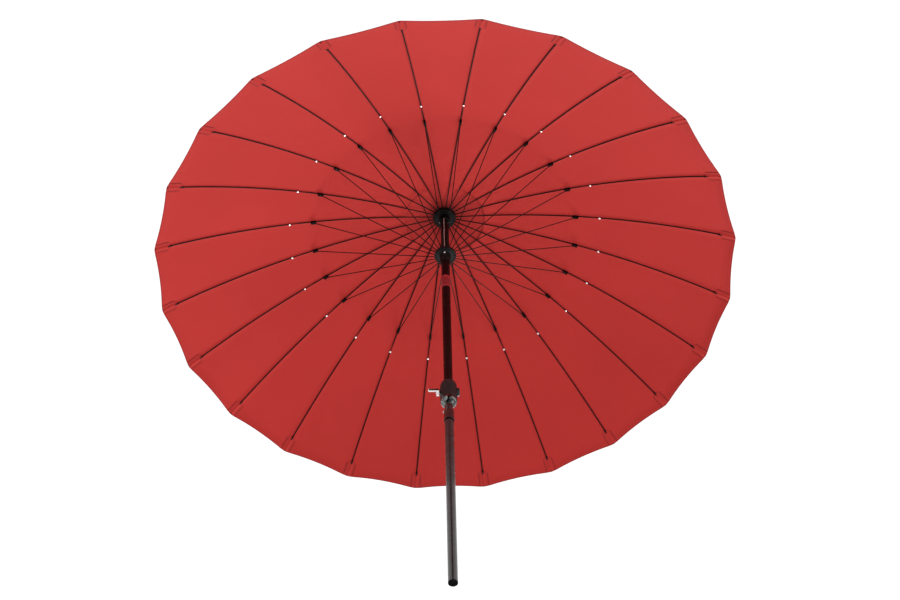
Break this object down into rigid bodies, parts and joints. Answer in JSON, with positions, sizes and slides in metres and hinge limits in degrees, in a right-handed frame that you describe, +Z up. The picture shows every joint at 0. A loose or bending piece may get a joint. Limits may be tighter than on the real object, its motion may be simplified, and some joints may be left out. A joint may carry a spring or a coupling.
{
  "type": "crank parasol",
  "caption": "Round garden parasol with a crank-driven runner, hinged ribs and struts, a tilt joint and a straight pole for a base socket",
  "frame": {"origin": "centre of the foot of the lower pole", "axes": "+Z up along the pole, -X towards the crank, +Y the way the canopy tilts"},
  "size_m": [2.5976, 2.5976, 2.474],
  "materials": {
    "pole": "gloss dark bronze paint",
    "black_plastic": "fine moulded grain",
    "housing_plastic": "satin charcoal brown",
    "chrome": "polished",
    "grip_metal": "polished",
    "canopy_fabric": "woven polyester, water-repellent",
    "cord": "braided polyester cord",
    "rod": "fibreglass rod, black"
  },
  "bodies": {
    "lower": {"lower_pole": "pole", "foot_plug": "black_plastic", "tilt_base": "housing_plastic"},
    "button": {"tilt_button": "chrome"},
    "upper": {"housing": "housing_plastic", "upper_pole": "pole", "top_hub": "black_plastic", "canopy": "canopy_fabric", "lift_cord": "cord"},
    "runner": {"runner": "black_plastic"},
    "crank": {"crank": "chrome"},
    "grip": {"crank_grip": "grip_metal"},
    "rib_01": {"rib_01": "rod"},
    "strut_01": {"strut_01": "rod"},
    "rib_02": {"rib_02": "rod"},
    "strut_02": {"strut_02": "rod"},
    "rib_03": {"rib_03": "rod"},
    "strut_03": {"strut_03": "rod"},
    "rib_04": {"rib_04": "rod"},
    "strut_04": {"strut_04": "rod"},
    "rib_05": {"rib_05": "rod"},
    "strut_05": {"strut_05": "rod"},
    "rib_06": {"rib_06": "rod"},
    "strut_06": {"strut_06": "rod"},
    "rib_07": {"rib_07": "rod"},
    "strut_07": {"strut_07": "rod"},
    "rib_08": {"rib_08": "rod"},
    "strut_08": {"strut_08": "rod"},
    "rib_09": {"rib_09": "rod"},
    "strut_09": {"strut_09": "rod"},
    "rib_10": {"rib_10": "rod"},
    "strut_10": {"strut_10": "rod"},
    "rib_11": {"rib_11": "rod"},
    "strut_11": {"strut_11": "rod"},
    "rib_12": {"rib_12": "rod"},
    "strut_12": {"strut_12": "rod"},
    "rib_13": {"rib_13": "rod"},
    "strut_13": {"strut_13": "rod"},
    "rib_14": {"rib_14": "rod"},
    "strut_14": {"strut_14": "rod"},
    "rib_15": {"rib_15": "rod"},
    "strut_15": {"strut_15": "rod"},
    "rib_16": {"rib_16": "rod"},
    "strut_16": {"strut_16": "rod"},
    "rib_17": {"rib_17": "rod"},
    "strut_17": {"strut_17": "rod"},
    "rib_18": {"rib_18": "rod"},
    "strut_18": {"strut_18": "rod"},
    "rib_19": {"rib_19": "rod"},
    "strut_19": {"strut_19": "rod"},
    "rib_20": {"rib_20": "rod"},
    "strut_20": {"strut_20": "rod"},
    "rib_21": {"rib_21": "rod"},
    "strut_21": {"strut_21": "rod"},
    "rib_22": {"rib_22": "rod"},
    "strut_22": {"strut_22": "rod"},
    "rib_23": {"rib_23": "rod"},
    "strut_23": {"strut_23": "rod"},
    "rib_24": {"rib_24": "rod"},
    "strut_24": {"strut_24": "rod"}
  },
  "joints": [
    {"name": "tilt", "type": "hinge", "parent": "lower", "child": "upper", "pos_m": [0, 0, 1.05], "axis": [-1, 0, 0], "range_deg": [0, 35]},
    {"name": "runner_slide", "type": "slide", "parent": "upper", "child": "runner", "axis": [0, 0, -1], "range_m": [0, 0.84342], "deforming": ["lift_cord"]},
    {"name": "rib_hinge_01", "type": "hinge", "parent": "upper", "child": "rib_01", "pos_m": [0.04561, 0.006, 2.388], "axis": [-0.1305, 0.9914, 0], "range_deg": [0, 65]},
    {"name": "strut_hinge_01", "type": "hinge", "parent": "rib_01", "child": "strut_01", "pos_m": [0.60402, 0.07952, 2.25441], "axis": [0.1305, -0.9914, 0], "range_deg": [0, 126.58]},
    {"name": "rib_hinge_02", "type": "hinge", "parent": "upper", "child": "rib_02", "pos_m": [0.0425, 0.0176, 2.388], "axis": [-0.3827, 0.9239, 0], "range_deg": [0, 65]},
    {"name": "strut_hinge_02", "type": "hinge", "parent": "rib_02", "child": "strut_02", "pos_m": [0.56286, 0.23314, 2.25441], "axis": [0.3827, -0.9239, 0], "range_deg": [0, 126.58]},
    {"name": "rib_hinge_03", "type": "hinge", "parent": "upper", "child": "rib_03", "pos_m": [0.03649, 0.028, 2.388], "axis": [-0.6088, 0.7934, 0], "range_deg": [0, 65]},
    {"name": "strut_hinge_03", "type": "hinge", "parent": "rib_03", "child": "strut_03", "pos_m": [0.48334, 0.37088, 2.25441], "axis": [0.6088, -0.7934, 0], "range_deg": [0, 126.58]},
    {"name": "rib_hinge_04", "type": "hinge", "parent": "upper", "child": "rib_04", "pos_m": [0.028, 0.03649, 2.388], "axis": [-0.7934, 0.6088, 0], "range_deg": [0, 65]},
    {"name": "strut_hinge_04", "type": "hinge", "parent": "rib_04", "child": "strut_04", "pos_m": [0.37088, 0.48334, 2.25441], "axis": [0.7934, -0.6088, 0], "range_deg": [0, 126.58]},
    {"name": "rib_hinge_05", "type": "hinge", "parent": "upper", "child": "rib_05", "pos_m": [0.0176, 0.0425, 2.388], "axis": [-0.9239, 0.3827, 0], "range_deg": [0, 65]},
    {"name": "strut_hinge_05", "type": "hinge", "parent": "rib_05", "child": "strut_05", "pos_m": [0.23314, 0.56286, 2.25441], "axis": [0.9239, -0.3827, 0], "range_deg": [0, 126.58]},
    {"name": "rib_hinge_06", "type": "hinge", "parent": "upper", "child": "rib_06", "pos_m": [0.006, 0.04561, 2.388], "axis": [-0.9914, 0.1305, 0], "range_deg": [0, 65]},
    {"name": "strut_hinge_06", "type": "hinge", "parent": "rib_06", "child": "strut_06", "pos_m": [0.07952, 0.60402, 2.25441], "axis": [0.9914, -0.1305, 0], "range_deg": [0, 126.58]},
    {"name": "rib_hinge_07", "type": "hinge", "parent": "upper", "child": "rib_07", "pos_m": [-0.006, 0.04561, 2.388], "axis": [-0.9914, -0.1305, 0], "range_deg": [0, 65]},
    {"name": "strut_hinge_07", "type": "hinge", "parent": "rib_07", "child": "strut_07", "pos_m": [-0.07952, 0.60402, 2.25441], "axis": [0.9914, 0.1305, 0], "range_deg": [0, 126.58]},
    {"name": "rib_hinge_08", "type": "hinge", "parent": "upper", "child": "rib_08", "pos_m": [-0.0176, 0.0425, 2.388], "axis": [-0.9239, -0.3827, 0], "range_deg": [0, 65]},
    {"name": "strut_hinge_08", "type": "hinge", "parent": "rib_08", "child": "strut_08", "pos_m": [-0.23314, 0.56286, 2.25441], "axis": [0.9239, 0.3827, 0], "range_deg": [0, 126.58]},
    {"name": "rib_hinge_09", "type": "hinge", "parent": "upper", "child": "rib_09", "pos_m": [-0.028, 0.03649, 2.388], "axis": [-0.7934, -0.6088, 0], "range_deg": [0, 65]},
    {"name": "strut_hinge_09", "type": "hinge", "parent": "rib_09", "child": "strut_09", "pos_m": [-0.37088, 0.48334, 2.25441], "axis": [0.7934, 0.6088, 0], "range_deg": [0, 126.58]},
    {"name": "rib_hinge_10", "type": "hinge", "parent": "upper", "child": "rib_10", "pos_m": [-0.03649, 0.028, 2.388], "axis": [-0.6088, -0.7934, 0], "range_deg": [0, 65]},
    {"name": "strut_hinge_10", "type": "hinge", "parent": "rib_10", "child": "strut_10", "pos_m": [-0.48334, 0.37088, 2.25441], "axis": [0.6088, 0.7934, 0], "range_deg": [0, 126.58]},
    {"name": "rib_hinge_11", "type": "hinge", "parent": "upper", "child": "rib_11", "pos_m": [-0.0425, 0.0176, 2.388], "axis": [-0.3827, -0.9239, 0], "range_deg": [0, 65]},
    {"name": "strut_hinge_11", "type": "hinge", "parent": "rib_11", "child": "strut_11", "pos_m": [-0.56286, 0.23314, 2.25441], "axis": [0.3827, 0.9239, 0], "range_deg": [0, 126.58]},
    {"name": "rib_hinge_12", "type": "hinge", "parent": "upper", "child": "rib_12", "pos_m": [-0.04561, 0.006, 2.388], "axis": [-0.1305, -0.9914, 0], "range_deg": [0, 65]},
    {"name": "strut_hinge_12", "type": "hinge", "parent": "rib_12", "child": "strut_12", "pos_m": [-0.60402, 0.07952, 2.25441], "axis": [0.1305, 0.9914, 0], "range_deg": [0, 126.58]},
    {"name": "rib_hinge_13", "type": "hinge", "parent": "upper", "child": "rib_13", "pos_m": [-0.04561, -0.006, 2.388], "axis": [0.1305, -0.9914, 0], "range_deg": [0, 65]},
    {"name": "strut_hinge_13", "type": "hinge", "parent": "rib_13", "child": "strut_13", "pos_m": [-0.60402, -0.07952, 2.25441], "axis": [-0.1305, 0.9914, 0], "range_deg": [0, 126.58]},
    {"name": "rib_hinge_14", "type": "hinge", "parent": "upper", "child": "rib_14", "pos_m": [-0.0425, -0.0176, 2.388], "axis": [0.3827, -0.9239, 0], "range_deg": [0, 65]},
    {"name": "strut_hinge_14", "type": "hinge", "parent": "rib_14", "child": "strut_14", "pos_m": [-0.56286, -0.23314, 2.25441], "axis": [-0.3827, 0.9239, 0], "range_deg": [0, 126.58]},
    {"name": "rib_hinge_15", "type": "hinge", "parent": "upper", "child": "rib_15", "pos_m": [-0.03649, -0.028, 2.388], "axis": [0.6088, -0.7934, 0], "range_deg": [0, 65]},
    {"name": "strut_hinge_15", "type": "hinge", "parent": "rib_15", "child": "strut_15", "pos_m": [-0.48334, -0.37088, 2.25441], "axis": [-0.6088, 0.7934, 0], "range_deg": [0, 126.58]},
    {"name": "rib_hinge_16", "type": "hinge", "parent": "upper", "child": "rib_16", "pos_m": [-0.028, -0.03649, 2.388], "axis": [0.7934, -0.6088, 0], "range_deg": [0, 65]},
    {"name": "strut_hinge_16", "type": "hinge", "parent": "rib_16", "child": "strut_16", "pos_m": [-0.37088, -0.48334, 2.25441], "axis": [-0.7934, 0.6088, 0], "range_deg": [0, 126.58]},
    {"name": "rib_hinge_17", "type": "hinge", "parent": "upper", "child": "rib_17", "pos_m": [-0.0176, -0.0425, 2.388], "axis": [0.9239, -0.3827, 0], "range_deg": [0, 65]},
    {"name": "strut_hinge_17", "type": "hinge", "parent": "rib_17", "child": "strut_17", "pos_m": [-0.23314, -0.56286, 2.25441], "axis": [-0.9239, 0.3827, 0], "range_deg": [0, 126.58]},
    {"name": "rib_hinge_18", "type": "hinge", "parent": "upper", "child": "rib_18", "pos_m": [-0.006, -0.04561, 2.388], "axis": [0.9914, -0.1305, 0], "range_deg": [0, 65]},
    {"name": "strut_hinge_18", "type": "hinge", "parent": "rib_18", "child": "strut_18", "pos_m": [-0.07952, -0.60402, 2.25441], "axis": [-0.9914, 0.1305, 0], "range_deg": [0, 126.58]},
    {"name": "rib_hinge_19", "type": "hinge", "parent": "upper", "child": "rib_19", "pos_m": [0.006, -0.04561, 2.388], "axis": [0.9914, 0.1305, 0], "range_deg": [0, 65]},
    {"name": "strut_hinge_19", "type": "hinge", "parent": "rib_19", "child": "strut_19", "pos_m": [0.07952, -0.60402, 2.25441], "axis": [-0.9914, -0.1305, 0], "range_deg": [0, 126.58]},
    {"name": "rib_hinge_20", "type": "hinge", "parent": "upper", "child": "rib_20", "pos_m": [0.0176, -0.0425, 2.388], "axis": [0.9239, 0.3827, 0], "range_deg": [0, 65]},
    {"name": "strut_hinge_20", "type": "hinge", "parent": "rib_20", "child": "strut_20", "pos_m": [0.23314, -0.56286, 2.25441], "axis": [-0.9239, -0.3827, 0], "range_deg": [0, 126.58]},
    {"name": "rib_hinge_21", "type": "hinge", "parent": "upper", "child": "rib_21", "pos_m": [0.028, -0.03649, 2.388], "axis": [0.7934, 0.6088, 0], "range_deg": [0, 65]},
    {"name": "strut_hinge_21", "type": "hinge", "parent": "rib_21", "child": "strut_21", "pos_m": [0.37088, -0.48334, 2.25441], "axis": [-0.7934, -0.6088, 0], "range_deg": [0, 126.58]},
    {"name": "rib_hinge_22", "type": "hinge", "parent": "upper", "child": "rib_22", "pos_m": [0.03649, -0.028, 2.388], "axis": [0.6088, 0.7934, 0], "range_deg": [0, 65]},
    {"name": "strut_hinge_22", "type": "hinge", "parent": "rib_22", "child": "strut_22", "pos_m": [0.48334, -0.37088, 2.25441], "axis": [-0.6088, -0.7934, 0], "range_deg": [0, 126.58]},
    {"name": "rib_hinge_23", "type": "hinge", "parent": "upper", "child": "rib_23", "pos_m": [0.0425, -0.0176, 2.388], "axis": [0.3827, 0.9239, 0], "range_deg": [0, 65]},
    {"name": "strut_hinge_23", "type": "hinge", "parent": "rib_23", "child": "strut_23", "pos_m": [0.56286, -0.23314, 2.25441], "axis": [-0.3827, -0.9239, 0], "range_deg": [0, 126.58]},
    {"name": "rib_hinge_24", "type": "hinge", "parent": "upper", "child": "rib_24", "pos_m": [0.04561, -0.006, 2.388], "axis": [0.1305, 0.9914, 0], "range_deg": [0, 65]},
    {"name": "strut_hinge_24", "type": "hinge", "parent": "rib_24", "child": "strut_24", "pos_m": [0.60402, -0.07952, 2.25441], "axis": [-0.1305, -0.9914, 0], "range_deg": [0, 126.58]},
    {"name": "crank_turn", "type": "hinge", "parent": "upper", "child": "crank", "pos_m": [0, 0, 1.107], "axis": [1, 0, 0], "range_deg": [0, 3240.01]},
    {"name": "grip_spin", "type": "hinge", "parent": "crank", "child": "grip", "pos_m": [-0.07, -0.0475, 1.06715], "axis": [1, 0, 0], "continuous": true},
    {"name": "button_press", "type": "slide", "parent": "lower", "child": "button", "axis": [1, 0, 0], "range_m": [0, 0.004], "stiffness_N_per_m": 600, "springref_m": -0.001}
  ],
  "couplings": [
    {"joint": "rib_hinge_01", "follows": "runner_slide", "rad_per_m": 1.3451},
    {"joint": "strut_hinge_01", "follows": "runner_slide", "rad_per_m": 2.6194},
    {"joint": "rib_hinge_02", "follows": "runner_slide", "rad_per_m": 1.3451},
    {"joint": "strut_hinge_02", "follows": "runner_slide", "rad_per_m": 2.6194},
    {"joint": "rib_hinge_03", "follows": "runner_slide", "rad_per_m": 1.3451},
    {"joint": "strut_hinge_03", "follows": "runner_slide", "rad_per_m": 2.6194},
    {"joint": "rib_hinge_04", "follows": "runner_slide", "rad_per_m": 1.3451},
    {"joint": "strut_hinge_04", "follows": "runner_slide", "rad_per_m": 2.6194},
    {"joint": "rib_hinge_05", "follows": "runner_slide", "rad_per_m": 1.3451},
    {"joint": "strut_hinge_05", "follows": "runner_slide", "rad_per_m": 2.6194},
    {"joint": "rib_hinge_06", "follows": "runner_slide", "rad_per_m": 1.3451},
    {"joint": "strut_hinge_06", "follows": "runner_slide", "rad_per_m": 2.6194},
    {"joint": "rib_hinge_07", "follows": "runner_slide", "rad_per_m": 1.3451},
    {"joint": "strut_hinge_07", "follows": "runner_slide", "rad_per_m": 2.6194},
    {"joint": "rib_hinge_08", "follows": "runner_slide", "rad_per_m": 1.3451},
    {"joint": "strut_hinge_08", "follows": "runner_slide", "rad_per_m": 2.6194},
    {"joint": "rib_hinge_09", "follows": "runner_slide", "rad_per_m": 1.3451},
    {"joint": "strut_hinge_09", "follows": "runner_slide", "rad_per_m": 2.6194},
    {"joint": "rib_hinge_10", "follows": "runner_slide", "rad_per_m": 1.3451},
    {"joint": "strut_hinge_10", "follows": "runner_slide", "rad_per_m": 2.6194},
    {"joint": "rib_hinge_11", "follows": "runner_slide", "rad_per_m": 1.3451},
    {"joint": "strut_hinge_11", "follows": "runner_slide", "rad_per_m": 2.6194},
    {"joint": "rib_hinge_12", "follows": "runner_slide", "rad_per_m": 1.3451},
    {"joint": "strut_hinge_12", "follows": "runner_slide", "rad_per_m": 2.6194},
    {"joint": "rib_hinge_13", "follows": "runner_slide", "rad_per_m": 1.3451},
    {"joint": "strut_hinge_13", "follows": "runner_slide", "rad_per_m": 2.6194},
    {"joint": "rib_hinge_14", "follows": "runner_slide", "rad_per_m": 1.3451},
    {"joint": "strut_hinge_14", "follows": "runner_slide", "rad_per_m": 2.6194},
    {"joint": "rib_hinge_15", "follows": "runner_slide", "rad_per_m": 1.3451},
    {"joint": "strut_hinge_15", "follows": "runner_slide", "rad_per_m": 2.6194},
    {"joint": "rib_hinge_16", "follows": "runner_slide", "rad_per_m": 1.3451},
    {"joint": "strut_hinge_16", "follows": "runner_slide", "rad_per_m": 2.6194},
    {"joint": "rib_hinge_17", "follows": "runner_slide", "rad_per_m": 1.3451},
    {"joint": "strut_hinge_17", "follows": "runner_slide", "rad_per_m": 2.6194},
    {"joint": "rib_hinge_18", "follows": "runner_slide", "rad_per_m": 1.3451},
    {"joint": "strut_hinge_18", "follows": "runner_slide", "rad_per_m": 2.6194},
    {"joint": "rib_hinge_19", "follows": "runner_slide", "rad_per_m": 1.3451},
    {"joint": "strut_hinge_19", "follows": "runner_slide", "rad_per_m": 2.6194},
    {"joint": "rib_hinge_20", "follows": "runner_slide", "rad_per_m": 1.3451},
    {"joint": "strut_hinge_20", "follows": "runner_slide", "rad_per_m": 2.6194},
    {"joint": "rib_hinge_21", "follows": "runner_slide", "rad_per_m": 1.3451},
    {"joint": "strut_hinge_21", "follows": "runner_slide", "rad_per_m": 2.6194},
    {"joint": "rib_hinge_22", "follows": "runner_slide", "rad_per_m": 1.3451},
    {"joint": "strut_hinge_22", "follows": "runner_slide", "rad_per_m": 2.6194},
    {"joint": "rib_hinge_23", "follows": "runner_slide", "rad_per_m": 1.3451},
    {"joint": "strut_hinge_23", "follows": "runner_slide", "rad_per_m": 2.6194},
    {"joint": "rib_hinge_24", "follows": "runner_slide", "rad_per_m": 1.3451},
    {"joint": "strut_hinge_24", "follows": "runner_slide", "rad_per_m": 2.6194},
    {"joint": "crank_turn", "follows": "runner_slide", "rad_per_m": 67.047}
  ]
}
